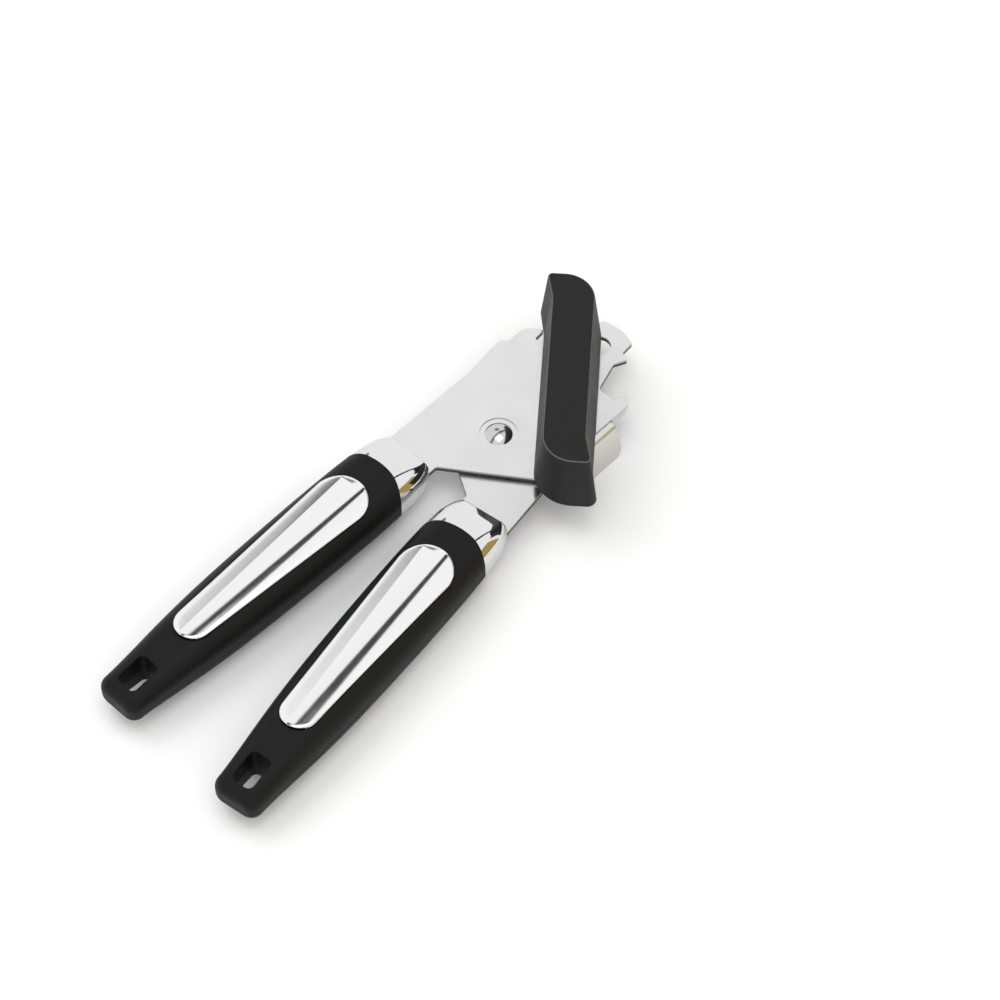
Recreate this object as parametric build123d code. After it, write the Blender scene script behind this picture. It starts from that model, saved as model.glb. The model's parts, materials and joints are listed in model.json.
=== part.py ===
"""Manual can opener: two riveted plates with moulded handles, a knob, a feed wheel and a cutting wheel.

Millimetres, +Z up. The model is laid out about the pivot with the upper arm along +X, resting on z = 0,
and every node is then shifted so that the origin is the centre of the bottom of the whole box.
"""

import os
from math import cos, hypot, pi, radians, sin, tan

from build123d import *

# ---------------------------------------------------------------- driving dimensions
OPEN_ANGLE = 7.8  # how far the lower arm stands open at rest
UPPER_OFFSET = 16.0  # the upper handle's axis from the pivot, sideways
LOWER_OFFSET = -15.0
UPPER_REACH = 90.0  # pivot to the middle of the upper inlay
LOWER_REACH = 93.1  # pivot to the middle of the lower inlay
MID_Z = 9.5  # parting plane of both handles
FIT = 0.02  # clearance between pieces fixed to each other
RUN = 0.05  # clearance where one piece turns on another

PLATE = 2.0  # thickness of both plates
UPPER_Z = 9.75  # underside of the upper plate
LOWER_Z = 7.4  # underside of the lower plate

PIVOT_SHANK_R = 4.0
PIVOT_HEAD_R = 4.7
PIVOT_RING_R = 6.5  # the shallow coined ring round the head
COIN_DEPTH = 0.4
PIVOT_WASHER_R = 8.0
TAIL_R = 5.6
DOME_R = 7.8
BACK_WASHER = 0.9

DRIVE = (23.5, -9.7)  # knob axis, from the pivot
SHAFT_R = 3.0
BUSH_R = 4.6
BUSH_FLANGE_R = 7.5
BUSH_FLANGE = 0.9
FLAT_DEPTH = 0.6  # depth of the shaft's two driving flats
FEED_R = 8.0
FEED_ROOT_R = 7.2
FEED_TEETH = 26
FEED_Z = 3.6
FEED_THICK = 3.2

CUTTER_CLOSED = (23.6, 6.0)  # cutter axis with the handles together
CUTTER_R = 9.5
CUTTER_Z = 1.0
CUTTER_THICK = 2.2
STUD_R = 2.5

KNOB_TURN = 39.5  # knob's long axis from the upper arm's axis
KNOB_BASE_Z = 14.2
KNOB_TOP_Z = 35.5
KNOB_DRAFT = 2.6  # how much wider the base is than the top, on each side
KNOB_WALL = 2.2
KNOB_ROOF = 2.5

INLAY_HALF = 41.0
INLAY_HEAD_R = 10.1
INLAY_TAIL_R = 6.8
INLAY_DEPTH = 2.4
INLAY_PROUD_Z = 9.5  # flat facet, from the parting plane
INLAY_RIM_Z = 8.7
INLAY_RIM = 0.7  # width of the raised rim
FACET_FALL = 9.5  # slope of the side facets
FACET_HALF = 3.7  # the creases' distance from the axis
CREASE_SPREAD = 0.03

HOLE_X = -58.9
HOLE_LENGTH = 12.0
HOLE_WIDTH = 8.2
HOLE_DRAFT = 4.0

FLANGE_TOP_Y = -23.6
FLANGE_SLANT = 20.0
FLANGE_START_X = 10.0
FLANGE_END_X = 29.3
FLANGE_CORNER_R = 4.0
RELIEF_END_X = 29.6  # the notch that frees the bend from the plate's edge
BEND_R = 1.2  # inside the bend

# Handle sections: along the handle, half width, half thickness and corner radius. They are evenly
# spaced, so that the surface through them has no waves.
GRIP_SECTIONS = [
    (-69.4, 8.7, 5.5, 4.6),
    (-48.5, 10.0, 7.5, 6.0),
    (-27.6, 11.8, 8.85, 7.3),
    (-6.7, 12.8, 9.1, 7.7),
    (14.2, 13.3, 9.1, 7.8),
    (35.1, 13.4, 9.1, 7.8),
    (56.0, 12.7, 8.8, 7.5),
]
COLLAR_SECTIONS = [
    (43.8, 12.9, 8.6, 7.2),
    (48.8, 12.9, 8.5, 7.1),
    (53.8, 12.7, 7.8, 6.5),
    (58.8, 11.9, 6.3, 5.2),
    (63.8, 9.4, 4.0, 3.2),
]
TAIL_ROUND = 4.0  # rounding of the handle's tail end
NOSE_ROUND = 1.2  # rounding of the collar's front end
GRIP_FRONT = 51.0  # where the grip's front edge crosses the handle's axis
GRIP_FRONT_R = 22.0
NECK_HALF = 9.7
TANG_HALF = 5.5
TANG_END = -22.0
UPPER_TANG_SHIFT = -0.7  # the upper tang lies a little inwards of its handle's axis
PIN_PLACES = [(-12.0, 0.0), (24.0, 0.0)]
PIN_R = 2.0
CORE_HALF_Z = 5.2


# ---------------------------------------------------------------- small helpers
def prism(points, radii, low, high):
    """A straight block on a closed outline whose corners are rounded to the radii given."""
    outline = FilletPolyline(*points, radius=radii, close=True)
    return Pos(0, 0, low) * extrude(make_face(outline), high - low)


def disc(radius, low, high, at=(0, 0)):
    return Pos(at[0], at[1], (low + high) / 2) * Cylinder(radius, high - low)


def ring(outer, inner, low, high, at=(0, 0)):
    return disc(outer, low, high, at) - disc(inner, low - 1, high + 1, at)


def turned(profile):
    """A solid of revolution about Z from (radius, height) corners."""
    return revolve(make_face(Plane.XZ * Polyline(*profile, close=True)), Axis.Z)


def flipped(part):
    """The same piece on the other side of the handle's parting plane."""
    return part.mirror(Plane.XY.offset(MID_Z))


def tube_sections(sections):
    """A smooth loft through rounded-rectangle sections along X, centred on the parting plane."""
    faces = []
    for x, half_width, half_height, corner in sections:
        place = Plane(origin=(x, 0, MID_Z), x_dir=(0, 1, 0), z_dir=(1, 0, 0))
        faces.append(place * RectangleRounded(2 * half_width, 2 * half_height, corner))
    return loft(faces)


def teardrop(half, head_r, tail_r):
    """Plan outline of an inlay: a large arc at the head, a small one at the tail, joined by tangents."""
    head = Vector(half - head_r, 0)
    tail = Vector(tail_r - half, 0)
    lean = (head_r - tail_r) / (head.X - tail.X)
    up = Vector(-lean, (1 - lean**2) ** 0.5)
    down = Vector(-lean, -((1 - lean**2) ** 0.5))
    head_up, head_down = head + up * head_r, head + down * head_r
    tail_up, tail_down = tail + up * tail_r, tail + down * tail_r
    outline = [
        Line(tail_down, head_down),
        ThreePointArc(head_down, (half, 0), head_up),
        Line(head_up, tail_up),
        ThreePointArc(tail_up, (-half, 0), tail_down),
    ]
    return make_face(outline)


def behind_front(offset=0.0):
    """The space behind the curved front edge of the grip."""
    centre = GRIP_FRONT - GRIP_FRONT_R + offset
    block = Pos(centre - 100, 0, MID_Z) * Box(200, 60, 40)
    return block + Pos(centre, 0, MID_Z) * Cylinder(GRIP_FRONT_R, 40)


# ---------------------------------------------------------------- one handle, in its own frame
def tang_outline(shift, grow=0.0):
    """Corners of the tang from the neck back, and their radii, in the handle's frame."""
    neck, tang = NECK_HALF + grow, TANG_HALF + grow
    half = [(66 + grow, neck), (47 - grow, neck), (43 - grow, tang), (TANG_END - grow, tang)]
    whole = half + [(x, -y) for x, y in reversed(half)]
    return [(x, y + shift) for x, y in whole], [0, 2, 2, 2, 2, 2, 2, 0]


def tang_room(plate_z, shift):
    points, radii = tang_outline(shift, FIT)
    return prism(points, radii, plate_z - FIT, plate_z + PLATE + FIT)


def core_block(grow=0.0):
    low, high = MID_Z - CORE_HALF_Z - grow, MID_Z + CORE_HALF_Z + grow
    back, front, half = -46 - grow, 39 + grow, 7 + grow
    corners = [(back, -half), (front, -half), (front, half), (back, half)]
    return prism(corners, [3, 3, 3, 3], low, high)


def hang_slot():
    """The hang hole: a rounded rectangle that narrows from each face to the parting plane."""
    narrow = Pos(HOLE_X, 0, MID_Z) * RectangleRounded(HOLE_LENGTH - 1.2, HOLE_WIDTH - 1.2, 1.6)
    upper = extrude(narrow, 9, taper=-HOLE_DRAFT)
    return upper + flipped(upper)


def spigot(grow=0.0):
    """The collar's round-cornered stub that the grip is moulded over."""
    place = Plane(origin=(41.5 - grow, 0, MID_Z), x_dir=(0, 1, 0), z_dir=(1, 0, 0))
    shape = RectangleRounded(20.4 + 2 * grow, 13 + 2 * grow, 4 + grow)
    return extrude(place * shape, 13)


def make_collar(plate_z, tang_shift):
    shell = tube_sections(COLLAR_SECTIONS)
    shell = fillet(shell.faces().sort_by(Axis.X)[-1].edges(), NOSE_ROUND)
    shell -= behind_front(RUN)
    return shell + spigot() - tang_room(plate_z, tang_shift)


def inlay_blank(grow=0.0):
    """The inlay's pocket or body above the parting plane, from its floor to well above its face."""
    face = teardrop(INLAY_HALF + grow, INLAY_HEAD_R + grow, INLAY_TAIL_R + grow)
    floor = MID_Z + INLAY_PROUD_Z - INLAY_DEPTH - grow
    return Pos(0, 0, floor) * extrude(face, 6)


def facet_cutter():
    """The space above the inlay's three long facets: a flat one between two that fall to the sides."""
    face_z = MID_Z + INLAY_PROUD_Z
    flat = Pos(0, 0, face_z + 5) * Box(200, 60, 10)
    # The creases stand further apart at the head end than at the tail.
    for side in (-1, 1):
        crease = Plane(
            origin=(0, side * FACET_HALF, face_z),
            x_dir=(1, side * CREASE_SPREAD, 0),
            z_dir=(0, side * sin(radians(FACET_FALL)), cos(radians(FACET_FALL))),
        )
        flat += crease * Pos(0, 0, 5) * Box(200, 60, 10)
    return flat


def make_inlay():
    """Faceted strip with a raised rim and a groove inside it."""
    body = inlay_blank() - facet_cutter()
    rim_top = MID_Z + INLAY_RIM_Z
    outside = teardrop(INLAY_HALF, INLAY_HEAD_R, INLAY_TAIL_R)
    inside = teardrop(INLAY_HALF - INLAY_RIM, INLAY_HEAD_R - INLAY_RIM, INLAY_TAIL_R - INLAY_RIM)
    floor = MID_Z + INLAY_PROUD_Z - INLAY_DEPTH
    rim = Pos(0, 0, floor) * extrude(outside - inside, rim_top - floor)
    return body + rim


def make_handle(plate_z, tang_shift):
    """Every piece of one handle, with its axis on X and its inlay's middle at the origin."""
    outer = tube_sections(GRIP_SECTIONS)
    outer = fillet(outer.faces().sort_by(Axis.X)[0].edges(), TAIL_ROUND) & behind_front()
    tang = tang_room(plate_z, tang_shift)
    hollow = core_block(FIT) + spigot(FIT) + tang
    pocket = inlay_blank(FIT)
    shell = outer - hollow - pocket - flipped(pocket) - hang_slot()
    upper_space = Pos(0, 0, MID_Z + 20) * Box(200, 60, 40)
    lower_space = Pos(0, 0, MID_Z - 20) * Box(200, 60, 40)
    pins = [disc(PIN_R, MID_Z - CORE_HALF_Z + 0.1, MID_Z + CORE_HALF_Z - 0.1, at) for at in PIN_PLACES]
    core = core_block() - tang - spigot(FIT)
    for at in PIN_PLACES:
        core -= disc(PIN_R + FIT, 0, 2 * MID_Z, at)
    inlay = make_inlay()
    return {
        "collar": make_collar(plate_z, tang_shift),
        "grip_top": shell & upper_space,
        "grip_bottom": shell & lower_space,
        "inlay_top": inlay,
        "inlay_bottom": flipped(inlay),
        "handle_core": core,
        "tang_pins": pins[0] + pins[1],
    }


# ---------------------------------------------------------------- upper arm
def tang_in_arm(reach, offset, shift):
    """The tang's outline moved from the handle's frame to the arm's."""
    points, radii = tang_outline(shift)
    return [(x - reach, y + offset) for x, y in points], radii


def upper_head_face():
    """Plan of the upper plate's head, without the bent-down can guide."""
    mouth_wall = FilletPolyline(
        (41.9, 18.9),
        (37.6, 18.6),
        (36.5, 12.0),
        (36.5, -3.2),
        (47.0, -3.2),
        radius=[0.6, 6.0, 5.0],
    )
    outline = [
        FilletPolyline((-26, 5.6), (-24.2, 5.6), (-3.2, -24.4), (8, -24.4), radius=[1.2, 3.0]),
        Line((8, -24.4), (34.0, -24.4)),
        ThreePointArc((34.0, -24.4), (39.2, -22.8), (41.5, -20.2)),
        FilletPolyline(
            (41.5, -20.2),
            (36.5, -18.7),
            (36.5, -11.7),
            (47.8, -8.2),
            (52.4, -10.4),
            (53.5, -7.1),
            (58.7, -6.7),
            radius=[0.8, 2.2, 0.8, 0.5, 0.4],
        ),
        ThreePointArc((58.7, -6.7), (60.2, -0.5), (59.1, 6.4)),
        ThreePointArc((59.1, 6.4), (55.2, 7.5), (53.2, 3.4)),
        ThreePointArc((53.2, 3.4), (54.1, -0.6), (51.0, -3.5)),
        Line((51.0, -3.5), mouth_wall @ 1),
        mouth_wall,
        ThreePointArc((41.9, 18.9), (39.6, 22.8), (35.3, 24.5)),
        FilletPolyline(
            (35.3, 24.5),
            (30.6, 24.5),
            (28.8, 26.8),
            (23.5, 26.4),
            (12.2, 25.0),
            (-26, 25.0),
            radius=[1.5, 1.8, 12.0, 30.0],
        ),
        Line((-26, 25.0), (-26, 5.6)),
    ]
    return make_face(outline)


def can_guide():
    """The plate's edge bent down and slanted outwards, with a rounded far corner."""
    inner_r = BEND_R
    outer_r = inner_r + PLATE
    top = UPPER_Z + PLATE
    turn = 90 - FLANGE_SLANT
    centre = Vector(0, FLANGE_TOP_Y, top - outer_r)

    def around(radius, angle):
        return centre + Vector(0, -radius * sin(radians(angle)), radius * cos(radians(angle)))

    run = Vector(0, -sin(radians(FLANGE_SLANT)), -cos(radians(FLANGE_SLANT)))
    length = around(outer_r, turn).Z / cos(radians(FLANGE_SLANT))
    outer_end = around(outer_r, turn) + run * length
    inner_end = around(inner_r, turn) + run * (length - PLATE * tan(radians(FLANGE_SLANT)))
    start = Vector(0, FLANGE_TOP_Y + 1.0, 0)
    profile = [
        Line((0, start.Y, top), around(outer_r, 0)),
        ThreePointArc(around(outer_r, 0), around(outer_r, turn / 2), around(outer_r, turn)),
        Line(around(outer_r, turn), outer_end),
        Line(outer_end, inner_end),
        Line(inner_end, around(inner_r, turn)),
        ThreePointArc(around(inner_r, turn), around(inner_r, turn / 2), around(inner_r, 0)),
        Line(around(inner_r, 0), (0, start.Y, UPPER_Z)),
        Line((0, start.Y, UPPER_Z), (0, start.Y, top)),
    ]
    bent = extrude(make_face(profile), FLANGE_END_X - FLANGE_START_X, dir=(1, 0, 0))
    foot = bent.edges().filter_by(Axis.Y).group_by(Axis.Z)[0].sort_by(Axis.X)
    bent = fillet(foot[-1], FLANGE_CORNER_R)
    return Pos(FLANGE_START_X, 0, 0) * bent


def pin_holes(reach, offset):
    """The tang's holes for the two pins that hold it in its handle."""
    at = [(x - reach, y + offset) for x, y in PIN_PLACES]
    return disc(PIN_R + FIT, 0, 20, at[0]) + disc(PIN_R + FIT, 0, 20, at[1])


def make_upper_plate():
    points, radii = tang_in_arm(UPPER_REACH, UPPER_OFFSET, UPPER_TANG_SHIFT)
    tang = prism(points, radii, UPPER_Z, UPPER_Z + PLATE) - pin_holes(UPPER_REACH, UPPER_OFFSET)
    head = Pos(0, 0, UPPER_Z) * extrude(upper_head_face(), PLATE)
    plate = tang + head
    relief = Box(RELIEF_END_X - FLANGE_START_X, 10, 8)
    plate -= Pos((FLANGE_START_X + RELIEF_END_X) / 2, FLANGE_TOP_Y - 5, UPPER_Z + PLATE / 2) * relief
    plate += can_guide()
    plate -= disc(PIVOT_SHANK_R + FIT, 0, 20)
    plate -= disc(PIVOT_RING_R, UPPER_Z + PLATE - COIN_DEPTH, 20)
    plate -= disc(BUSH_R + FIT, 0, 20, DRIVE)
    return plate


def make_pivot_rivet():
    """Domed head with a small centre nub, straight shank and peened tail."""
    head_z = UPPER_Z + PLATE - COIN_DEPTH
    dome_drop = (DOME_R**2 - PIVOT_HEAD_R**2) ** 0.5
    dome = Pos(0, 0, head_z - dome_drop) * Sphere(DOME_R) & disc(PIVOT_HEAD_R, head_z, head_z + 5)
    tail_z = LOWER_Z - BACK_WASHER
    shank = disc(PIVOT_SHANK_R, tail_z, head_z)
    bottom = tail_z - 1.3
    tail = turned([(0, bottom), (3.6, bottom), (TAIL_R, tail_z - 0.5), (TAIL_R, tail_z), (0, tail_z)])
    nub = Pos(0, 0, head_z + DOME_R - dome_drop - 0.15) * Sphere(0.5)
    return dome + shank + tail + nub


def make_bushing():
    top = UPPER_Z + PLATE
    flange = ring(BUSH_FLANGE_R, SHAFT_R + RUN, top, top + BUSH_FLANGE, DRIVE)
    return flange + ring(BUSH_R, SHAFT_R + RUN, FEED_Z + FEED_THICK + 0.3, top, DRIVE)


# ---------------------------------------------------------------- lower arm, drawn with the handles closed
def make_lower_plate():
    points, radii = tang_in_arm(LOWER_REACH, LOWER_OFFSET, 0.0)
    tang = prism(points, radii, LOWER_Z, LOWER_Z + PLATE) - pin_holes(LOWER_REACH, LOWER_OFFSET)
    clear_r = hypot(*DRIVE) - BUSH_R - 1.2
    swing = [clear_r * Vector(cos(radians(a)), sin(radians(a))) for a in (-78, -45, -14)]
    outline = [
        FilletPolyline(
            (-28, -5.3),
            (-25.4, -5.3),
            (-12, 11.5),
            (0, 15),
            (18, 15.5),
            (30, 13),
            radius=[1.5, 5, 8, 8],
        ),
        ThreePointArc((30, 13), (31.2, 4), (25.5, -2.0)),
        Line((25.5, -2.0), swing[2]),
        ThreePointArc(swing[2], swing[1], swing[0]),
        FilletPolyline(swing[0], (-9.5, -24.6), (-28, -24.7), radius=[3.0]),
        Line((-28, -24.7), (-28, -5.3)),
    ]
    head = Pos(0, 0, LOWER_Z) * extrude(make_face(outline), PLATE)
    plate = tang + head
    plate -= disc(PIVOT_SHANK_R + RUN, 0, 20)
    plate -= disc(STUD_R + FIT, 0, 20, CUTTER_CLOSED)
    return plate


def make_cutter_stud():
    """Peened into the plate, with a journal for the wheel and a head under it."""
    head_z = CUTTER_Z - RUN
    journal = disc(STUD_R, head_z - 0.1, LOWER_Z + PLATE, CUTTER_CLOSED)
    head = turned([(0, 0.3), (3.2, 0.3), (4.2, 0.6), (4.2, head_z), (0, head_z)])
    return journal + Pos(CUTTER_CLOSED[0], CUTTER_CLOSED[1], 0) * head


def make_cutter_spacer():
    return ring(4.4, STUD_R + FIT, CUTTER_Z + CUTTER_THICK + RUN, LOWER_Z, CUTTER_CLOSED)


def make_cutting_wheel():
    """A disc ground to an edge from above, on a thicker hub."""
    top = CUTTER_Z + CUTTER_THICK
    profile = [
        (STUD_R + RUN, CUTTER_Z),
        (CUTTER_R - 1.2, CUTTER_Z),
        (CUTTER_R, CUTTER_Z + 0.5),
        (CUTTER_R, CUTTER_Z + 0.6),
        (CUTTER_R - 3.0, top),
        (STUD_R + RUN, top),
    ]
    return Pos(CUTTER_CLOSED[0], CUTTER_CLOSED[1], 0) * turned(profile)


# ---------------------------------------------------------------- drive: knob, shaft and feed wheel
def on_knob(part):
    """From the knob's own frame, long axis on X, to its place on the shaft."""
    return Pos(DRIVE[0], DRIVE[1], 0) * Rot(0, 0, KNOB_TURN) * part


def make_shaft():
    """Round in the bushing, flatted in the knob and in the feed wheel."""
    shaft = disc(SHAFT_R, 1.2, KNOB_TOP_Z - 5)
    for side in (-1, 1):
        reach = side * (SHAFT_R - FLAT_DEPTH + 5)
        shaft -= Pos(reach, 0, KNOB_BASE_Z + 10) * Box(10, 10, 20)
        shaft -= Pos(reach, 0, FEED_Z + FEED_THICK - 5) * Box(10, 10, 10)
    return on_knob(shaft)


def flatted_hole(low, high):
    """The hole that the shaft's flats drive."""
    flat = 2 * (SHAFT_R - FLAT_DEPTH + FIT)
    block = Pos(0, 0, (low + high) / 2) * Box(flat, 20, high - low)
    return disc(SHAFT_R + FIT, low, high) & block


def make_feed_wheel():
    """A wheel with straight-flanked teeth all round."""
    points = []
    for tooth in range(FEED_TEETH):
        start = 2 * pi * tooth / FEED_TEETH
        step = 2 * pi / FEED_TEETH
        for share, radius in ((0.0, FEED_ROOT_R), (0.2, FEED_ROOT_R), (0.45, FEED_R), (0.75, FEED_R)):
            angle = start + share * step
            points.append((radius * cos(angle), radius * sin(angle)))
    wheel = Pos(0, 0, FEED_Z) * extrude(make_face(Polyline(*points, close=True)), FEED_THICK)
    wheel -= flatted_hole(FEED_Z - 1, FEED_Z + FEED_THICK + 1)
    return on_knob(wheel)


def make_feed_nut():
    nut = Pos(0, 0, 1.4) * extrude(RegularPolygon(4.6, 6), FEED_Z - 1.4 - FIT)
    return on_knob(nut - flatted_hole(0, FEED_Z + 1))


def knob_outline(grow):
    """S-shaped plan with half-turn symmetry: a sharp flared corner and a broad round one at each end."""
    half = [
        (28.5, 7.3 + grow, 12.0 + grow),
        (38.9 + grow, 9.6 + grow, 1.6 + 0.6 * grow),
        (38.9 + grow, -7.0 - grow, 10.5 + grow),
    ]
    corners = half + [(-x, -y, radius) for x, y, radius in half]
    points = [(x, y) for x, y, radius in corners]
    return make_face(FilletPolyline(*points, radius=[corner[2] for corner in corners], close=True))


def make_knob_shell():
    top = Pos(0, 0, KNOB_TOP_Z) * knob_outline(0.0)
    base = Pos(0, 0, KNOB_BASE_Z) * knob_outline(KNOB_DRAFT)
    outer = loft([base, top], ruled=True)
    outer = fillet(outer.faces().sort_by(Axis.Z)[-1].edges(), 0.7)
    roof = Pos(0, 0, KNOB_TOP_Z - KNOB_ROOF) * knob_outline(-KNOB_WALL)
    mouth = Pos(0, 0, KNOB_BASE_Z - 0.01) * knob_outline(KNOB_DRAFT - KNOB_WALL)
    inner = loft([mouth, roof], ruled=True)
    return outer - inner


def make_knob_hub(room):
    """The inner moulding: a boss round the shaft with a long rib and cross ribs, cut to fit the shell."""
    low, high = KNOB_BASE_Z, KNOB_TOP_Z - KNOB_ROOF - FIT
    middle = (low + high) / 2
    hub = disc(6.2, low, high)
    hub += Pos(0, 0, middle) * Box(66, 1.8, high - low)
    for x in (-24, -12, 12, 24):
        hub += Pos(x, 0, middle) * Box(1.8, 30, high - low)
    hub = hub & room
    return hub - flatted_hole(low - 1, KNOB_TOP_Z - 5 + FIT)


def knob_room():
    roof = Pos(0, 0, KNOB_TOP_Z - KNOB_ROOF - FIT) * knob_outline(-KNOB_WALL - FIT)
    mouth = Pos(0, 0, KNOB_BASE_Z) * knob_outline(KNOB_DRAFT - KNOB_WALL - FIT)
    return loft([mouth, roof], ruled=True)


def make_thrust_washer():
    low = UPPER_Z + PLATE + BUSH_FLANGE + RUN
    return ring(6.4, SHAFT_R + FIT, low, KNOB_BASE_Z - FIT, DRIVE)


# ---------------------------------------------------------------- assembly
def build():
    """Every node in the pivot's frame, by name."""
    nodes = {
        "upper_plate": make_upper_plate(),
        "pivot_rivet": make_pivot_rivet(),
        "pivot_washer": ring(PIVOT_WASHER_R, PIVOT_SHANK_R + FIT, LOWER_Z + PLATE + RUN, UPPER_Z - FIT),
        "rivet_back_washer": ring(7.0, PIVOT_SHANK_R + FIT, LOWER_Z - BACK_WASHER + FIT, LOWER_Z - RUN),
        "shaft_bushing": make_bushing(),
        "drive_shaft": make_shaft(),
        "feed_wheel": make_feed_wheel(),
        "feed_wheel_nut": make_feed_nut(),
        "thrust_washer": make_thrust_washer(),
        "knob_shell": on_knob(make_knob_shell()),
        "knob_hub": on_knob(make_knob_hub(knob_room())),
    }
    for name, part in make_handle(UPPER_Z, UPPER_TANG_SHIFT).items():
        nodes["upper_" + name] = Pos(-UPPER_REACH, UPPER_OFFSET, 0) * part
    swing = Rot(0, 0, OPEN_ANGLE)
    nodes["lower_plate"] = swing * make_lower_plate()
    nodes["cutter_stud"] = swing * make_cutter_stud()
    nodes["cutter_spacer"] = swing * make_cutter_spacer()
    nodes["cutting_wheel"] = swing * make_cutting_wheel()
    for name, part in make_handle(LOWER_Z, 0.0).items():
        nodes["lower_" + name] = swing * Pos(-LOWER_REACH, LOWER_OFFSET, 0) * part
    return nodes


def centred(nodes):
    """The nodes shifted to the row's origin, and the pivot's place there."""
    boxes = [part.bounding_box() for part in nodes.values()]
    low = [min(getattr(box.min, axis) for box in boxes) for axis in "XYZ"]
    high = [max(getattr(box.max, axis) for box in boxes) for axis in "XYZ"]
    shift = Vector(-(low[0] + high[0]) / 2, -(low[1] + high[1]) / 2, -low[2])
    moved = {name: Pos(shift.X, shift.Y, shift.Z) * part for name, part in nodes.items()}
    return moved, shift


if __name__ == "__main__":
    os.makedirs("parts", exist_ok=True)
    opener, pivot = centred(build())
    for name, part in opener.items():
        export_step(part, f"parts/{name}.step")
    print("pivot at", pivot)
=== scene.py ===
# %% [markdown]
# # A manual can opener, finished in Blender
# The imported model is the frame: every plate, rivet, wheel and moulding already has its true size and
# place. This lesson loads it, adds the pieces whose shape is a matter of finish, and gives every
# surface its own procedural material.

# %% Load the frame
import json
import math

import bmesh
import bpy
from mathutils import Matrix, Vector


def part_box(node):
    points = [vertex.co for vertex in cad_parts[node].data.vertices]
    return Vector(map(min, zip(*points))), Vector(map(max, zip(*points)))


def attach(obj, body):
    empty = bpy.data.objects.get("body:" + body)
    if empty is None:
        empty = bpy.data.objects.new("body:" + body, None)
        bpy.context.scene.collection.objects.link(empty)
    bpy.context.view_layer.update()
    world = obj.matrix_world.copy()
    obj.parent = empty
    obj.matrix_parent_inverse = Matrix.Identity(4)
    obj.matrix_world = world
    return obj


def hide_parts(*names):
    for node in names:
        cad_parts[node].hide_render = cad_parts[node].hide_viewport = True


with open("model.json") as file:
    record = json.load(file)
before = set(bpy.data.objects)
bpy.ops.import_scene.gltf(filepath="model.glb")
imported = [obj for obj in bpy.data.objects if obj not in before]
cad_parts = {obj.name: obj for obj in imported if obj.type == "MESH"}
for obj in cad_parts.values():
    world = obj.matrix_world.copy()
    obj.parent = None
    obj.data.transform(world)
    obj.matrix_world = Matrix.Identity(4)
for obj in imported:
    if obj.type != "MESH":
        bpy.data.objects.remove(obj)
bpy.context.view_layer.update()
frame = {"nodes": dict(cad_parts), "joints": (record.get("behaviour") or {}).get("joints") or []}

MM = 0.001
nodes = frame["nodes"]
joints = {joint["name"]: joint for joint in frame["joints"]}
pivot = Vector(joints["handle_pivot"]["pos_m"])
knob_axis = Vector(joints["knob_turn"]["pos_m"])
cutter_axis = Vector(joints["cutter_spin"]["pos_m"])
print("frame loaded:", len(nodes), "nodes, pivot at", tuple(round(v / MM, 2) for v in pivot))

# %% [markdown]
# ## Where the handles are
# Each handle has its own frame, with X along it and the origin at the middle of its inlay. The lower
# handle stands open by a few degrees, and both frames are laid out from the pivot.

# %% Handle frames
HANDLE_MIDDLE = 9.5  # height of both handles' parting plane, in mm
UPPER_REACH, UPPER_OFFSET = 90.0, 16.0  # from the pivot to the middle of the upper inlay, in mm
LOWER_REACH, LOWER_OFFSET = 93.1, -15.0
LOWER_TURN = 7.8  # how far the lower arm stands open, in degrees


def handle_frame(reach, offset, turn):
    """The matrix that takes a handle's own millimetres to the row's metres."""
    centre = Matrix.Translation(Vector((pivot.x, pivot.y, HANDLE_MIDDLE * MM)))
    swung = centre @ Matrix.Rotation(math.radians(turn), 4, "Z") @ Matrix.Scale(MM, 4)
    return swung @ Matrix.Translation(Vector((-reach, offset, 0.0)))


HANDLES = {
    "upper": handle_frame(UPPER_REACH, UPPER_OFFSET, 0.0),
    "lower": handle_frame(LOWER_REACH, LOWER_OFFSET, LOWER_TURN),
}
for name, place in HANDLES.items():
    print(name, "handle's middle:", tuple(round(v / MM, 2) for v in place.translation))

# %% [markdown]
# ## Helpers for materials
# A material here is a Principled shader whose colour, roughness and normal come from nodes. Small
# helpers keep the node code short: one adds a node with its inputs, one links a value or another
# node's output to a socket, and the rest wrap the few nodes that come back again and again.


# %% Node helpers
def feed(tree, socket, value):
    """Sets a socket to a plain value, or links another socket to it."""
    if isinstance(value, bpy.types.NodeSocket):
        tree.links.new(value, socket)
    else:
        socket.default_value = value


def add(tree, kind, inputs=None, **settings):
    """A node with its settings, and its inputs by name or number."""
    node = tree.nodes.new(kind)
    for key, value in settings.items():
        setattr(node, key, value)
    for key, value in (inputs or {}).items():
        feed(tree, node.inputs[key], value)
    return node


def maths(tree, operation, *values, clamp=False):
    """One Math node, as its output socket."""
    node = add(tree, "ShaderNodeMath", operation=operation, use_clamp=clamp)
    for number, value in enumerate(values):
        feed(tree, node.inputs[number], value)
    return node.outputs[0]


def spread(tree, value, low, high, to_low=0.0, to_high=1.0):
    """A smooth Map Range from low..high to to_low..to_high."""
    inputs = {"Value": value, "From Min": low, "From Max": high, "To Min": to_low, "To Max": to_high}
    return add(tree, "ShaderNodeMapRange", inputs, interpolation_type="SMOOTHSTEP").outputs[0]


def noise(tree, vector, scale, detail, roughness=0.5):
    """The grey value of a Noise texture."""
    inputs = {"Vector": vector, "Scale": scale, "Detail": detail, "Roughness": roughness}
    return add(tree, "ShaderNodeTexNoise", inputs).outputs["Fac"]


def stretched(tree, vector, factors):
    """A vector multiplied axis by axis."""
    return add(tree, "ShaderNodeVectorMath", {0: vector, 1: factors}, operation="MULTIPLY").outputs[0]


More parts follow.
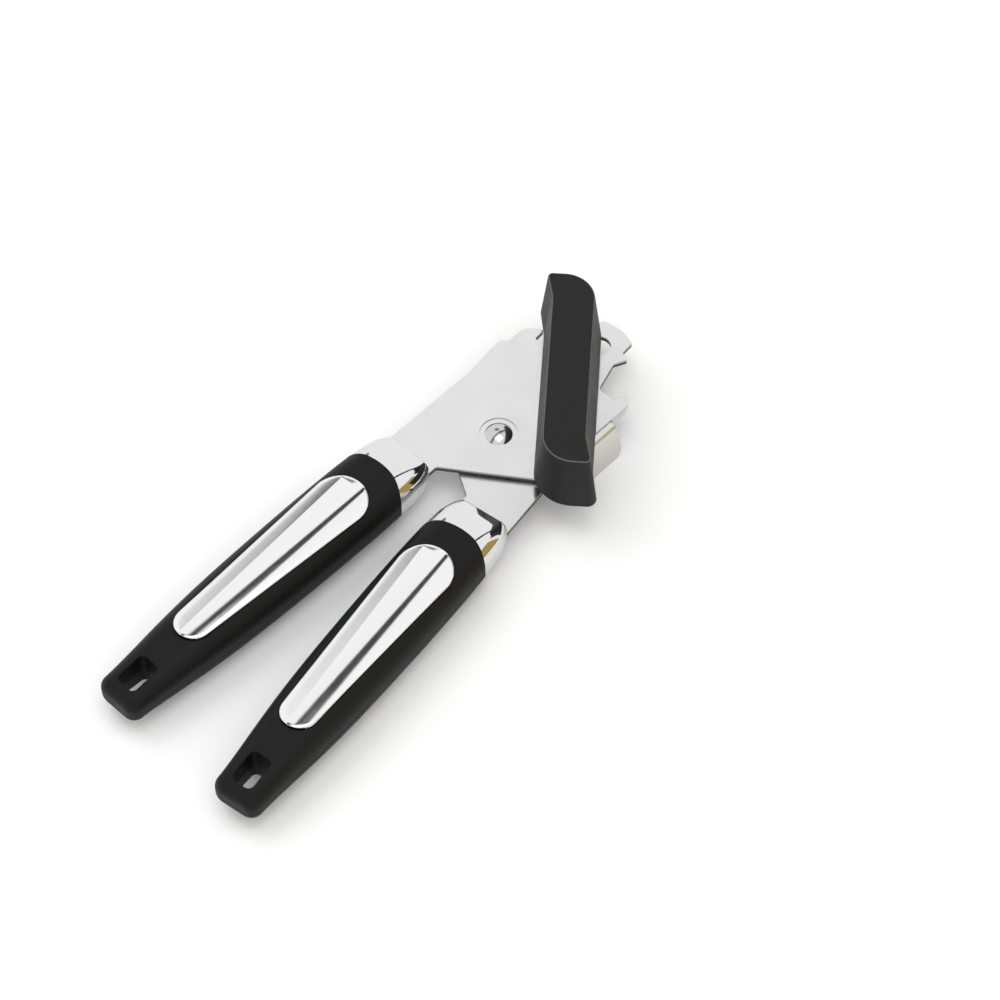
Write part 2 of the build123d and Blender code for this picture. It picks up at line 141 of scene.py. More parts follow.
def axes(tree, vector):
    """A vector's X, Y and Z, as output sockets."""
    return add(tree, "ShaderNodeSeparateXYZ", {0: vector}).outputs


def on_object(tree):
    """The place on the object, in its own metres."""
    return add(tree, "ShaderNodeTexCoord").outputs["Object"]


def uprightness(tree):
    """How squarely a face looks up or down: 1 when it lies flat and 0 when it stands upright."""
    normal = add(tree, "ShaderNodeNewGeometry").outputs["Normal"]
    return maths(tree, "ABSOLUTE", axes(tree, normal)["Z"])


def mix_colour(tree, share, first, second):
    """Two colours mixed by a share from 0 to 1."""
    node = add(tree, "ShaderNodeMix", data_type="RGBA")
    feed(tree, node.inputs["Factor"], share)
    feed(tree, node.inputs[6], first)
    feed(tree, node.inputs[7], second)
    return node.outputs[2]


def grey(value):
    """An even grey, as a colour."""
    return (value, value, value, 1.0)


print("node helpers ready")

# %% [markdown]
# ## Effects that several finishes share
# Fine grain, faint wipe marks and the dull edge of sheared sheet appear on more than one piece. Each
# is a node group with named inputs, built once and placed in every material with that material's own
# numbers. A group hands out only masks and heights. The shader itself stays in the material.


# %% Group builder
def new_group(name, inputs, outputs):
    """A shader group with float or vector sockets: its tree, its inputs and its output node."""
    tree = bpy.data.node_groups.new(name, "ShaderNodeTree")
    for label, default in inputs.items():
        kind = "NodeSocketVector" if isinstance(default, tuple) else "NodeSocketFloat"
        socket = tree.interface.new_socket(name=label, in_out="INPUT", socket_type=kind)
        socket.default_value = default
    for label in outputs:
        tree.interface.new_socket(name=label, in_out="OUTPUT", socket_type="NodeSocketFloat")
    source = tree.nodes.new("NodeGroupInput")
    sink = tree.nodes.new("NodeGroupOutput")
    return tree, source.outputs, sink


# %% Grain: the fine texture of a moulding or a satin metal
METRE = 1000.0  # in mm
CLOUD_SCALE = 90.0  # broad tone changes, per metre

grain_tree, grain_in, grain_out = new_group(
    "Surface grain",
    {"Size": 0.4, "Stretch": (1.0, 1.0, 1.0), "Contrast": 0.5},
    ["Height", "Mask"],
)
where = on_object(grain_tree)
per_metre = maths(grain_tree, "DIVIDE", METRE, grain_in["Size"])
fine = noise(grain_tree, stretched(grain_tree, where, grain_in["Stretch"]), per_metre, 3.0, 0.6)
broad = noise(grain_tree, where, CLOUD_SCALE, 4.0, 0.55)
swing = maths(grain_tree, "MULTIPLY", maths(grain_tree, "SUBTRACT", broad, 0.5), grain_in["Contrast"])
feed(grain_tree, grain_out.inputs["Height"], fine)
feed(grain_tree, grain_out.inputs["Mask"], maths(grain_tree, "ADD", swing, 0.5, clamp=True))
print("group:", grain_tree.name)

# %% Marks: hairline scratches and wipe marks
HAIRS_ACROSS, HAIRS_UP = 2600.0, 200.0  # hairlines per metre
PATCH_SCALE = 60.0  # patches of wear, per metre

marks_tree, marks_in, marks_out = new_group(
    "Hairline marks",
    {"Turn": (0.0, 0.0, 0.0), "Length": 30.0, "Amount": 0.5},
    ["Mask"],
)
where = on_object(marks_tree)
turn = {"Vector": where, "Rotation": marks_in["Turn"]}
turned = add(marks_tree, "ShaderNodeMapping", turn).outputs[0]
long_way = maths(marks_tree, "DIVIDE", METRE, marks_in["Length"])
squeeze = add(marks_tree, "ShaderNodeCombineXYZ", {"X": long_way, "Y": HAIRS_ACROSS, "Z": HAIRS_UP})
streaks = noise(marks_tree, stretched(marks_tree, turned, squeeze.outputs[0]), 1.0, 2.0)
patches = noise(marks_tree, where, PATCH_SCALE, 2.0)
sharp = spread(marks_tree, streaks, 0.60, 0.72)
some = spread(marks_tree, patches, 0.45, 0.65)
amount = maths(marks_tree, "MULTIPLY", maths(marks_tree, "MULTIPLY", sharp, some), marks_in["Amount"])
feed(marks_tree, marks_out.inputs["Mask"], amount)
print("group:", marks_tree.name)

# %% Cut edge: the upright faces of punched sheet
TEAR_SCALE = (900.0, 900.0, 60.0)  # upright streaks, per metre along each axis

edge_tree, edge_in, edge_out = new_group("Cut edge", {"Upright": 0.55}, ["Mask", "Streak"])
full = maths(edge_tree, "ADD", edge_in["Upright"], 0.2)
mask = spread(edge_tree, uprightness(edge_tree), edge_in["Upright"], full, 1.0, 0.0)
drawn = stretched(edge_tree, on_object(edge_tree), TEAR_SCALE)
feed(edge_tree, edge_out.inputs["Mask"], mask)
feed(edge_tree, edge_out.inputs["Streak"], noise(edge_tree, drawn, 1.0, 2.0))
print("group:", edge_tree.name)


# %% [markdown]
# ## Making a material
# Every finish starts from the same few lines: a new material, its Principled shader with the plain
# numbers set straight on its sockets, and a Bump node for the grain.

# %% Material starter
def new_material(name, **plain):
    """A material with a Principled shader, and that shader's plain numbers set by socket name."""
    material = bpy.data.materials.new(name)
    material.use_nodes = True
    tree = material.node_tree
    shader = tree.nodes["Principled BSDF"]
    for label, value in plain.items():
        shader.inputs[label.replace("_", " ").title().replace("Ior", "IOR")].default_value = value
    return material, tree, shader


def use(tree, group, **inputs):
    """One of the shared groups, placed in a material with its own values."""
    node = add(tree, "ShaderNodeGroup", node_tree=group)
    for label, value in inputs.items():
        feed(tree, node.inputs[label], value)
    return node.outputs


def bump(tree, shader, height, depth, strength):
    """Relief of a depth in mm, fed to the shader's normal."""
    inputs = {"Height": height, "Distance": depth * MM, "Strength": strength}
    feed(tree, shader.inputs["Normal"], add(tree, "ShaderNodeBump", inputs).outputs[0])


def clouded(tree, shader, mask, first, second):
    """Base colour that drifts between two tones."""
    feed(tree, shader.inputs["Base Color"], mix_colour(tree, mask, first, second))


print("material starter ready")

# %% [markdown]
# ## Satin sheet steel
# Both arms are punched from stainless sheet about 2 mm thick and polished to a soft satin. The faces
# are nearly white in a bright room. A punched edge has a bright land where the punch slid and a dull
# break below it where the sheet tore, and that break is painted near black, partly as painted shade
# along the plates' edges. The bent-down can guide keeps the faces' polish although it stands upright,
# and its colour is painted a darker grey-green as a painted reflection of the shaded floor. So the
# edge is found by the direction that a face looks in, and left out on the guide, which is found by its
# place.

# %% Plate steel
GUIDE_DEPTH = 7.2  # how far the can guide and its bend reach in from the plate's edge, in mm
GUIDE_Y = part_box("upper_plate")[0].y + GUIDE_DEPTH * MM
UPPER_FACE, LOWER_FACE = 11.75, 9.4  # the plates' top faces, in mm
LAND = 0.7  # height of the bright land, in mm
GUIDE_FADE, LAND_FADE = 0.8, 0.3  # how gradually each begins, in mm


def plate_steel(name, top, guide):
    """Satin faces, and sheared edges with a bright land above a dull break that is also painted dark
    as shade, for a top face in mm.
    """
    material, tree, shader = new_material(name, metallic=1.0)
    grain = use(tree, grain_tree, Size=0.9, Stretch=(0.08, 1.0, 1.0), Contrast=0.7)
    marks = use(tree, marks_tree, Turn=(0.0, 0.0, 0.5), Length=40.0, Amount=0.12)
    edge = use(tree, edge_tree, Upright=0.35)
    mask = edge["Mask"]
    face = mix_colour(tree, grain["Mask"], grey(0.78), grey(0.85))
    place = axes(tree, on_object(tree))
    if guide:
        on_plate = spread(tree, place["Y"], GUIDE_Y - GUIDE_FADE * MM, GUIDE_Y)
        mask = maths(tree, "MULTIPLY", mask, on_plate)
        # Painted reflection: on the can guide the colour turns a darker grey-green, standing in for
        # the shaded floor that the upright guide reflects.
        face = mix_colour(tree, on_plate, (0.62, 0.62, 0.58, 1.0), face)
    # The break is the sheet's real dull band, and its near-black colour is partly painted shade along
    # the plates' edges.
    torn_break_and_shade = mix_colour(tree, edge["Streak"], grey(0.02), grey(0.10))
    land = spread(tree, place["Z"], (top - LAND - LAND_FADE) * MM, (top - LAND) * MM)
    clouded(tree, shader, mask, face, mix_colour(tree, land, torn_break_and_shade, grey(0.45)))
    wiped = maths(tree, "MULTIPLY", marks["Mask"], 0.2)
    smooth = maths(tree, "ADD", spread(tree, grain["Mask"], 0.2, 0.8, 0.17, 0.24), wiped)
    rough = maths(tree, "ADD", smooth, maths(tree, "MULTIPLY", mask, 0.2))
    feed(tree, shader.inputs["Roughness"], rough)
    bump(tree, shader, maths(tree, "ADD", grain["Height"], marks["Mask"]), 0.006, 0.35)
    return material


PLATE_UPPER = plate_steel("satin_sheet_upper", UPPER_FACE, True)
PLATE_LOWER = plate_steel("satin_sheet_lower", LOWER_FACE, False)
print("plate steel:", PLATE_UPPER.name, PLATE_LOWER.name)

# %% [markdown]
# ## Chrome and bright turned steel
# The collars, the inlays and the rivet are mirror bright. Chrome over moulded plastic is never quite
# flat: a very slight orange peel bends its reflections. Turned pieces show faint rings about their
# own axis instead.

# %% Chrome
def chrome(name, tone, roughness, ripple):
    """Mirror plating with a trace of orange peel, whose ripple is in mm."""
    material, tree, shader = new_material(name, metallic=1.0)
    grain = use(tree, grain_tree, Size=6.0, Contrast=0.6)
    marks = use(tree, marks_tree, Turn=(0.0, 0.0, 0.3), Length=18.0, Amount=0.4)
    clouded(tree, shader, grain["Mask"], grey(tone - 0.03), grey(tone + 0.03))
    wiped = maths(tree, "MULTIPLY", marks["Mask"], 0.10)
    smooth = spread(tree, grain["Mask"], 0.2, 0.8, roughness, roughness + 0.03)
    feed(tree, shader.inputs["Roughness"], maths(tree, "ADD", smooth, wiped))
    bump(tree, shader, grain["Height"], ripple, 0.5)
    return material


CHROME = chrome("chrome_trim", 0.70, 0.03, 0.012)
INLAY_CHROME = chrome("inlay_chrome", 0.80, 0.08, 0.015)


# %% Turned steel
RING_SCALE = 900.0  # the Wave texture's scale, which gives rings well under a millimetre apart


def turned_steel(name, axis, tone, roughness):
    """Rings about an upright axis, as a lathe or a grinding wheel leaves them."""
    material, tree, shader = new_material(name, metallic=1.0)
    to_axis = {"Vector": on_object(tree), "Location": (-axis.x, -axis.y, 0.0)}
    centred = add(tree, "ShaderNodeMapping", to_axis).outputs[0]
    wave = {"Vector": centred, "Scale": RING_SCALE, "Distortion": 1.5, "Detail": 2.0}
    rings = add(tree, "ShaderNodeTexWave", wave, wave_type="RINGS", rings_direction="Z").outputs["Fac"]
    grain = use(tree, grain_tree, Size=0.6, Contrast=0.8)
    clouded(tree, shader, grain["Mask"], grey(tone - 0.06), grey(tone))
    feed(tree, shader.inputs["Roughness"], spread(tree, rings, 0.0, 1.0, roughness, roughness + 0.08))
    bump(tree, shader, rings, 0.004, 0.4)
    return material


RIVET_STEEL = turned_steel("rivet_steel", pivot, 0.58, 0.10)
SHAFT_STEEL = turned_steel("shaft_steel", knob_axis, 0.74, 0.18)
WHEEL_STEEL = turned_steel("wheel_steel", knob_axis, 0.62, 0.22)
CUTTER_STEEL = turned_steel("cutter_steel", cutter_axis, 0.66, 0.16)
print("bright metals:", CHROME.name, RIVET_STEEL.name, WHEEL_STEEL.name, CUTTER_STEEL.name)

# %% Brass for the bushing
BRASS, tree, shader = new_material("bush_brass", metallic=1.0)
grain = use(tree, grain_tree, Size=0.5, Contrast=1.0)
clouded(tree, shader, grain["Mask"], (0.55, 0.38, 0.16, 1.0), (0.76, 0.58, 0.30, 1.0))
feed(tree, shader.inputs["Roughness"], spread(tree, grain["Height"], 0.3, 0.7, 0.22, 0.34))
bump(tree, shader, grain["Height"], 0.006, 0.4)
print("brass:", BRASS.name)

# %% [markdown]
# ## Soft black grips and the matte knob
# The grips are a black soft-touch moulding: dark, with a dusty sheen where the light grazes them and a
# fine pebble. The two halves meet in a hairline parting line. The knob is a harder matte plastic with
# a finer spark-eroded texture and a slightly greyer tone. Its rounded shoulders are painted lighter,
# as a painted highlight where the light catches its edges.

# %% Black mouldings
LINE_CORE, LINE_EDGE = 0.08, 0.22  # half widths of the parting line, in mm


def black_moulding(name, tones, rough, pebble, depth, parting=None, painted_edge_highlight=0.0, **plain):
    """Black plastic. pebble, depth and the height of the parting line are in mm."""
    material, tree, shader = new_material(name, **plain)
    grain = use(tree, grain_tree, Size=pebble, Contrast=0.9)
    dark, light = tones
    colour = mix_colour(tree, grain["Mask"], grey(dark), grey(light))
    height = grain["Height"]
    if parting is not None:
        off = maths(tree, "SUBTRACT", axes(tree, on_object(tree))["Z"], parting * MM)
        line = spread(tree, maths(tree, "ABSOLUTE", off), LINE_CORE * MM, LINE_EDGE * MM, 1.0, 0.0)
        colour = mix_colour(tree, line, colour, grey(dark * 0.35))
        height = maths(tree, "SUBTRACT", height, maths(tree, "MULTIPLY", line, 4.0))
    # Painted highlight: the rounded shoulders between the top and the walls get a lighter colour,
    # standing in for light caught along the edges.
    if painted_edge_highlight:
        up = uprightness(tree)
        not_flat = spread(tree, up, 0.88, 0.98, 1.0, 0.0)
        shoulder = maths(tree, "MULTIPLY", spread(tree, up, 0.35, 0.6), not_flat)
        colour = mix_colour(tree, maths(tree, "MULTIPLY", shoulder, painted_edge_highlight), colour, grey(0.12))
    feed(tree, shader.inputs["Base Color"], colour)
    matt = spread(tree, grain["Mask"], 0.2, 0.8, rough - 0.05, rough + 0.05)
    feed(tree, shader.inputs["Roughness"], matt)
    bump(tree, shader, height, depth, 0.5)
    return material


GRIP = black_moulding(
    "soft_black_grip",
    tones=(0.0025, 0.006),
    rough=0.50,
    pebble=0.35,
    depth=0.02,
    parting=HANDLE_MIDDLE,
    specular_ior_level=0.19,
)
KNOB = black_moulding(
    "knob_black",
    tones=(0.006, 0.010),
    rough=0.58,
    pebble=0.22,
    depth=0.012,
    # the knob's shoulders get a painted highlight
    painted_edge_highlight=0.8,
    specular_ior_level=0.28,
)
INNER = black_moulding("inner_black", tones=(0.03, 0.05), rough=0.6, pebble=0.5, depth=0.02)
print("black mouldings:", GRIP.name, KNOB.name, INNER.name)

# %% [markdown]
# ## Dressing the carried nodes
# The plates, collars, grips, knob, rivets and wheels have the right shape already, so each keeps its
# mesh and only takes a material.

# %% Give each node its finish
FINISH = {
    "upper_plate": PLATE_UPPER,
    "lower_plate": PLATE_LOWER,
    "upper_collar": CHROME,
    "lower_collar": CHROME,
    "pivot_rivet": RIVET_STEEL,
    "pivot_washer": RIVET_STEEL,
    "rivet_back_washer": RIVET_STEEL,
    "shaft_bushing": BRASS,
    "drive_shaft": SHAFT_STEEL,
    "feed_wheel": WHEEL_STEEL,
    "feed_wheel_nut": SHAFT_STEEL,
    "thrust_washer": SHAFT_STEEL,
    "cutting_wheel": CUTTER_STEEL,
    "cutter_stud": CUTTER_STEEL,
    "cutter_spacer": CUTTER_STEEL,
    "upper_tang_pins": SHAFT_STEEL,
    "lower_tang_pins": SHAFT_STEEL,
    "knob_shell": KNOB,
    "knob_hub": INNER,
    "upper_handle_core": INNER,
    "lower_handle_core": INNER,
}
for name, node in nodes.items():
    finish = FINISH.get(name, GRIP if "grip" in name else CHROME)
    node.data.materials.clear()
    node.data.materials.append(finish)
print("dressed", len(nodes), "nodes")

# %% [markdown]
# ## The chrome inlays
# Each inlay is a teardrop strip let into the grip: a flat facet along the middle and one that falls
# away to each side. The crease on the left is crisp, and the one on the right is rolled, widely at the
# tail and tightly at the head. A rounded lip runs inside the outline, and a dark gap parts the strip
# from the grip. All this is a simple rule, so the strip is a mesh of cross-sections whose heights come
# from that rule and whose points gather where it bends.

# %% Sizes of the inlay, in mm
HEAD_R, TAIL_R = 10.1, 6.8
HEAD_X, TAIL_X = 30.9, -34.2  # where the two end arcs have their centres
LEAN = math.asin((HEAD_R - TAIL_R) / (HEAD_X - TAIL_X))  # how far the long sides spread
GAP = 0.3  # the dark line left between the strip and the grip
TOP = 9.42  # the flat facet above the parting plane
FLOOR = 7.15  # the strip's underside
FALL = math.tan(math.radians(9.5))  # the side facets' slope
SHARP = 0.12  # half the width of the crisp crease
LIP, LIP_FALL = 0.8, 0.3  # width and fall of the rounded lip


def arc(centre_x, radius, start, sweep, steps):
    """Points round an end of the teardrop."""
    angles = [start + sweep * step / steps for step in range(steps + 1)]
    return [(centre_x + radius * math.cos(a), radius * math.sin(a)) for a in angles]


def half_outline(shrink, steps=36):
    """The teardrop's +y side from the head's tip to the tail's, with both end radii shrunk alike."""
    touch = math.pi / 2 + LEAN
    head = arc(HEAD_X, HEAD_R - shrink, 0.0, touch, steps)
    tail = arc(TAIL_X, TAIL_R - shrink, touch, math.pi - touch, steps)
    start, end = Vector(head[-1]), Vector(tail[0])
    side = [tuple(start.lerp(end, step / steps)) for step in range(1, steps)]
    return head + side + tail


# %% The height rule
ROLL_STEPS = 12  # cuts over the rolled crease
LIP_STEPS = (0.08, 0.2, 0.35, 0.55, LIP)  # cuts over the lip, from the outline


def left_crease(x):
    """Where the crisp crease lies."""
    return 3.1 + 0.065 * x


def right_crease(x):
    """Where the rolled crease lies, and half the width over which it rolls."""
    return 3.5 - 0.012 * x, 1.9 - 0.022 * x


def rolled(distance, roll):
    """How far the surface has fallen at a distance past a crease that is rolled over."""
    if distance <= -roll:
        return 0.0
    if distance >= roll:
        return distance * FALL
    return FALL * (distance + roll) ** 2 / (4 * roll)


def lip(x, y):
    """How far the rounded lip has fallen, from the distance to the outline."""
    length = HEAD_X - TAIL_X
    along = x + abs(y) * (HEAD_R - TAIL_R) / length - TAIL_X
    share = max(0.0, min(1.0, along / length))
    centre, radius = TAIL_X + length * share, TAIL_R + (HEAD_R - TAIL_R) * share
    inside = max(0.0, radius - GAP - math.hypot(x - centre, y))
    return LIP_FALL * max(0.0, 1.0 - inside / LIP) ** 2


def inlay_height(x, y):
    """The strip's height above the parting plane."""
    crease, roll = right_crease(x)
    return TOP - rolled(y - left_crease(x), SHARP) - rolled(-y - crease, roll) - lip(x, y)


def section(x, half):
    """The places across the strip at x, close together wherever the surface bends."""
    left = left_crease(x)
    crease, roll = right_crease(x)
    across = [-half, -(half + crease + roll) / 2]
    across += [-crease - roll * (1 - 2 * step / ROLL_STEPS) for step in range(ROLL_STEPS + 1)]
    across += [0.0, left - SHARP, left, left + SHARP, (left + SHARP + half) / 2, half]
    for inside in LIP_STEPS:
        across += [-max(half - inside, 0.0), max(half - inside, 0.0)]
    return sorted(max(-half, min(half, y)) for y in across)


middle_height, edge_height = inlay_height(0.0, 0.0), inlay_height(20.0, 8.5)
print("height at the middle and near the edge:", middle_height, round(edge_height, 2))

# %% Build the strips
def strip_mesh(name, frames):
    """The faceted strips on both faces of a handle, as one mesh in the row's frame."""
    points, faces = [], []
    for frame_matrix in frames:
        first = len(points)
        outline = half_outline(GAP)
        for x, half in outline:
            row = [(x, y, inlay_height(x, y)) for y in section(x, half)]
            row = [(x, -half, FLOOR)] + row + [(x, half, FLOOR)]
            points += [frame_matrix @ Vector(point) for point in row]
        width = len(row)
        for level in range(len(outline) - 1):
            for step in range(width):
                a = first + level * width + step
                b = first + level * width + (step + 1) % width
                faces.append((a, b, b + width, a + width))
    mesh = bpy.data.meshes.new(name)
    mesh.from_pydata([tuple(point) for point in points], [], faces)
    return mesh


def merged(mesh):
    """Doubled points merged, faces pointed outwards and shaded smooth."""
    work = bmesh.new()
    work.from_mesh(mesh)
    bmesh.ops.remove_doubles(work, verts=work.verts, dist=1e-6)
    bmesh.ops.dissolve_degenerate(work, edges=work.edges, dist=1e-7)
    bmesh.ops.recalc_face_normals(work, faces=work.faces)
    work.to_mesh(mesh)
    work.free()
    mesh.polygons.foreach_set("use_smooth", [True] * len(mesh.polygons))
    return mesh


# %% Place them
FLIP = Matrix.Rotation(math.pi, 4, "X")
for arm, place in HANDLES.items():
    strip = merged(strip_mesh(arm + "_inlays", [place, place @ FLIP]))
    strips = bpy.data.objects.new(arm + "_inlays", strip)
    bpy.context.scene.collection.objects.link(strips)
    strips.data.set_sharp_from_angle(angle=math.radians(50))
    strips.data.materials.append(INLAY_CHROME)
    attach(strips, arm + "_arm")
    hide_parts(arm + "_inlay_top", arm + "_inlay_bottom")
    print(strips.name, len(strips.data.polygons), "faces")

# %% [markdown]
# ## The bright bead round each inlay
# A thin half-round bead runs round the edge of every inlay. It follows a path, so Geometry Nodes sweep
# a small circle along the teardrop outline.


# %% A tree that sweeps a bead along a path
BEAD_R = 0.14  # in mm
BEAD_SIDES = 10
BEAD_DROP = 0.08  # how far the bead's middle lies below the strip's edge


def bead_tree():
    """The tree, with the bead's radius, its sides and its finish as inputs."""
    tree = bpy.data.node_groups.new("Bead along a path", "GeometryNodeTree")
    tree.interface.new_socket(name="Geometry", in_out="INPUT", socket_type="NodeSocketGeometry")
    for label, default in (("Bead radius", BEAD_R * MM), ("Bead sides", BEAD_SIDES)):
        kind = "NodeSocketFloat" if isinstance(default, float) else "NodeSocketInt"
        tree.interface.new_socket(name=label, in_out="INPUT", socket_type=kind).default_value = default
    tree.interface.new_socket(name="Finish", in_out="INPUT", socket_type="NodeSocketMaterial")
    tree.interface.new_socket(name="Geometry", in_out="OUTPUT", socket_type="NodeSocketGeometry")
    source, sink = tree.nodes.new("NodeGroupInput").outputs, tree.nodes.new("NodeGroupOutput")
    path = add(tree, "GeometryNodeMeshToCurve", {"Mesh": source["Geometry"]}).outputs[0]
    section = add(
        tree,
        "GeometryNodeCurvePrimitiveCircle",
        {"Resolution": source["Bead sides"], "Radius": source["Bead radius"]},
    ).outputs[0]
    swept = add(tree, "GeometryNodeCurveToMesh", {"Curve": path, "Profile Curve": section}).outputs[0]
    real = add(tree, "GeometryNodeRealizeInstances", {"Geometry": swept}).outputs[0]
    smooth = add(tree, "GeometryNodeSetShadeSmooth", {"Geometry": real}).outputs[0]
    finished = {"Geometry": smooth, "Material": source["Finish"]}
    feed(tree, sink.inputs["Geometry"], add(tree, "GeometryNodeSetMaterial", finished).outputs[0])
    return tree


def solidified(obj, tree, name, **inputs):
    """obj's geometry-node result as a plain mesh, with inputs set by their sockets' identifiers."""
    modifier = obj.modifiers.new("nodes", "NODES")
    modifier.node_group = tree
    for item in tree.interface.items_tree:
        if item.item_type == "SOCKET" and item.in_out == "INPUT":
            label = item.name.replace(" ", "_").lower()
            if label in inputs:
                modifier[item.identifier] = inputs[label]
    bpy.context.scene.collection.objects.link(obj)
    graph = bpy.context.evaluated_depsgraph_get()
    mesh = bpy.data.meshes.new_from_object(obj.evaluated_get(graph))
    bpy.data.objects.remove(obj)
    result = bpy.data.objects.new(name, mesh)
    bpy.context.scene.collection.objects.link(result)
    return result


BEAD = bead_tree()
print("tree:", BEAD.name)

# %% Sweep the beads
for arm, place in HANDLES.items():
    points, edges = [], []
    for frame_matrix in (place, place @ FLIP):
        first = len(points)
        half = half_outline(GAP + BEAD_R, 24)
        ring = half + [(x, -y) for x, y in reversed(half[1:-1])]
        ring = [(x, y, inlay_height(x, y) - BEAD_DROP) for x, y in ring]
        points += [frame_matrix @ Vector(point) for point in ring]
        edges += [(first + step, first + (step + 1) % len(ring)) for step in range(len(ring))]
    path = bpy.data.meshes.new(arm + "_bead_path")
    path.from_pydata([tuple(point) for point in points], edges, [])
    bead = solidified(
        bpy.data.objects.new(arm + "_bead_path", path),
        BEAD,
        arm + "_inlay_beads",
        bead_radius=BEAD_R * MM,
        bead_sides=BEAD_SIDES,
        finish=CHROME,
    )
    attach(bead, arm + "_arm")
    print(bead.name, len(bead.data.polygons), "faces")

# %% [markdown]
# ## The floor
# A plain pale floor under the opener catches its soft shadows.

# %% Floor
FLOOR_REACH = 4.0  # from the middle to each edge, in metres
FLOOR_PAINT, tree, shader = new_material("pale_floor", roughness=0.7, specular_ior_level=0.2)
shader.inputs["Base Color"].default_value = grey(0.93)
floor_mesh = bpy.data.meshes.new("floor")
corners = [(x * FLOOR_REACH, y * FLOOR_REACH, 0.0) for x, y in ((-1, -1), (1, -1), (1, 1), (-1, 1))]
floor_mesh.from_pydata(corners, [], [(0, 1, 2, 3)])
floor_mesh.materials.append(FLOOR_PAINT)
floor = bpy.data.objects.new("floor", floor_mesh)
bpy.context.scene.collection.objects.link(floor)
print("floor", 2 * FLOOR_REACH, "m across")

# %% [markdown]
# ## Studio light
# Polished metal shows what is round it, so the room matters as much as the lamps. The room here is a
# white tent, a little darker near the horizon. Dark cards in it give the chrome its stripes and
# patches, and one warm patch gives it a touch of gold. A large soft lamp behind the opener lays its
# shadows, without showing in the metal, and a weaker one overhead lightens them.

# %% The white tent and its dark cards
world = bpy.data.worlds.new("white_tent")
bpy.context.scene.world = world
world.use_nodes = True
sky = world.node_tree
direction = add(sky, "ShaderNodeTexCoord").outputs["Generated"]
toward = axes(sky, direction)
height = toward["Z"]
across = maths(sky, "ARCTAN2", toward["Y"], height)
azimuth = maths(sky, "ARCTAN2", toward["Y"], toward["X"])


def heading(turn, rise):
    """A direction from its turn about +Z, counted from +X, and its rise, both in degrees."""
    a, e = math.radians(turn), math.radians(rise)
    return (math.cos(a) * math.cos(e), math.sin(a) * math.cos(e), math.sin(e))


def card(tree, tone, centre, inner, outer, depth):
    """A round dark card: full within inner degrees of its centre and gone past outer."""
    dot = add(tree, "ShaderNodeVectorMath", {0: direction, 1: centre}, operation="DOT_PRODUCT")
    start, stop = math.cos(math.radians(outer)), math.cos(math.radians(inner))
    shade = spread(tree, dot.outputs["Value"], start, stop, 1.0, 1.0 - depth)
    return maths(tree, "MULTIPLY", tone, shade)


def bar(tree, value, centre, half, soft):
    """A band from 0 to 1 round a value, with soft edges."""
    away = maths(tree, "ABSOLUTE", maths(tree, "SUBTRACT", value, centre))
    return spread(tree, away, half, half + soft, 1.0, 0.0)


def bar_degrees(tree, angle, centre, half, soft):
    """The same round an angle, with its sizes in degrees."""
    return bar(tree, angle, math.radians(centre), math.radians(half), math.radians(soft))


print("a card's heading, for one:", tuple(round(v, 3) for v in heading(51.0, 41.0)))

# %% Hang the cards
tent = spread(sky, height, 0.0, 0.2, 0.9, 1.0)
tent = card(sky, tent, heading(57.0, 41.0), 2.0, 9.0, 0.50)
tent = card(sky, tent, heading(51.0, 41.0), 7.6, 8.5, 0.75)
rail = maths(sky, "MULTIPLY", bar_degrees(sky, across, 17.0, 4.5, 2.0), 0.95)
tent = maths(sky, "MULTIPLY", tent, maths(sky, "SUBTRACT", 1.0, rail))
paint = mix_colour(sky, tent, grey(0.0), grey(1.0))
low_turn, low_rise = bar_degrees(sky, azimuth, -6.0, 15.0, 4.0), bar(sky, height, 0.31, 0.20, 0.05)
paint = mix_colour(sky, maths(sky, "MULTIPLY", low_turn, low_rise), paint, grey(0.02))
warm_turn, warm_rise = bar_degrees(sky, azimuth, -48.0, 14.0, 4.0), bar(sky, height, 0.26, 0.26, 0.05)
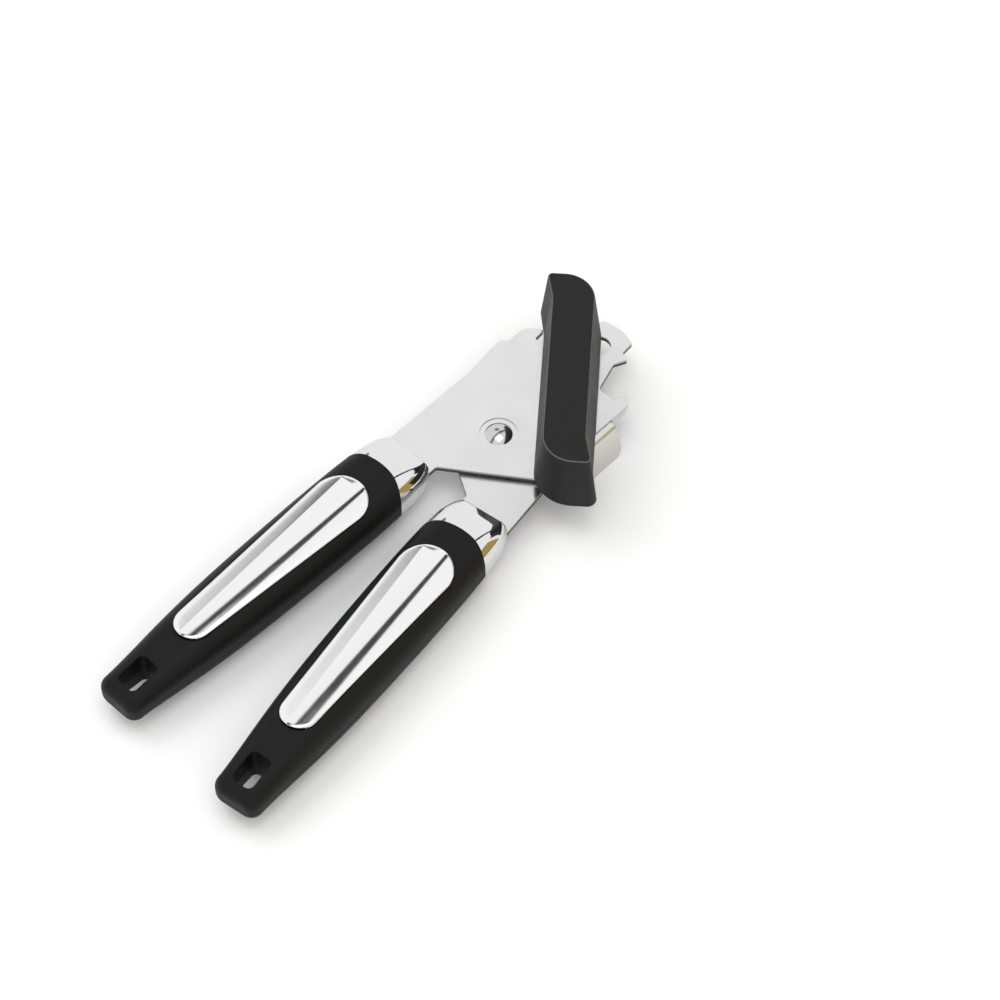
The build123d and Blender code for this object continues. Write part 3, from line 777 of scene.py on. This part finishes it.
paint = mix_colour(sky, maths(sky, "MULTIPLY", warm_turn, warm_rise), paint, (0.42, 0.32, 0.10, 1.0))
background = sky.nodes["Background"]
feed(sky, background.inputs["Color"], paint)
background.inputs["Strength"].default_value = 1.12
print("tent ready, strength", round(background.inputs["Strength"].default_value, 2))


# %% The lamps
def lamp(name, place, aim, size, power, mirrored):
    """A soft square lamp that looks at a point. mirrored says whether polished metal shows it."""
    data = bpy.data.lights.new(name, "AREA")
    data.shape = "SQUARE"
    data.size = size
    data.energy = power
    holder = bpy.data.objects.new(name, data)
    holder.location = place
    holder.rotation_euler = (Vector(aim) - Vector(place)).to_track_quat("-Z", "Y").to_euler()
    holder.visible_glossy = mirrored
    bpy.context.scene.collection.objects.link(holder)


lamp("key", (-0.1, 1.0, 1.6), (0.0, 0.0, 0.0), 1.1, 6.0, mirrored=False)
lamp("overhead", (0.05, 0.0, 1.7), (0.05, 0.0, 0.0), 1.0, 3.5, mirrored=True)
print("lamps ready")

# %% [markdown]
# ## Camera
# A long lens, about a metre away and looking down at 55 degrees, keeps the handles nearly parallel.

# %% Camera
DISTANCE = 1.1  # in metres
AZIMUTH = math.radians(-46.5)
ELEVATION = math.radians(55.0)
AIM_FROM_PIVOT = (-13.445, -13.357)  # where the camera looks, in mm
aim = Vector((pivot.x + AIM_FROM_PIVOT[0] * MM, pivot.y + AIM_FROM_PIVOT[1] * MM, 0.0))
level = Vector((math.sin(AZIMUTH), -math.cos(AZIMUTH), 0.0))
back = level * math.cos(ELEVATION) + Vector((0.0, 0.0, math.sin(ELEVATION)))
camera_data = bpy.data.cameras.new("camera")
camera_data.lens = 118.8
camera_data.sensor_width = 36.0
camera_data.clip_start = 0.05
camera_data.clip_end = 50.0
camera = bpy.data.objects.new("camera", camera_data)
camera.location = aim + back * DISTANCE
camera.rotation_euler = (-back).to_track_quat("-Z", "Y").to_euler()
bpy.context.scene.collection.objects.link(camera)
bpy.context.scene.camera = camera
bpy.context.scene.view_settings.view_transform = "Standard"
print("camera at", tuple(round(v, 3) for v in camera.location))
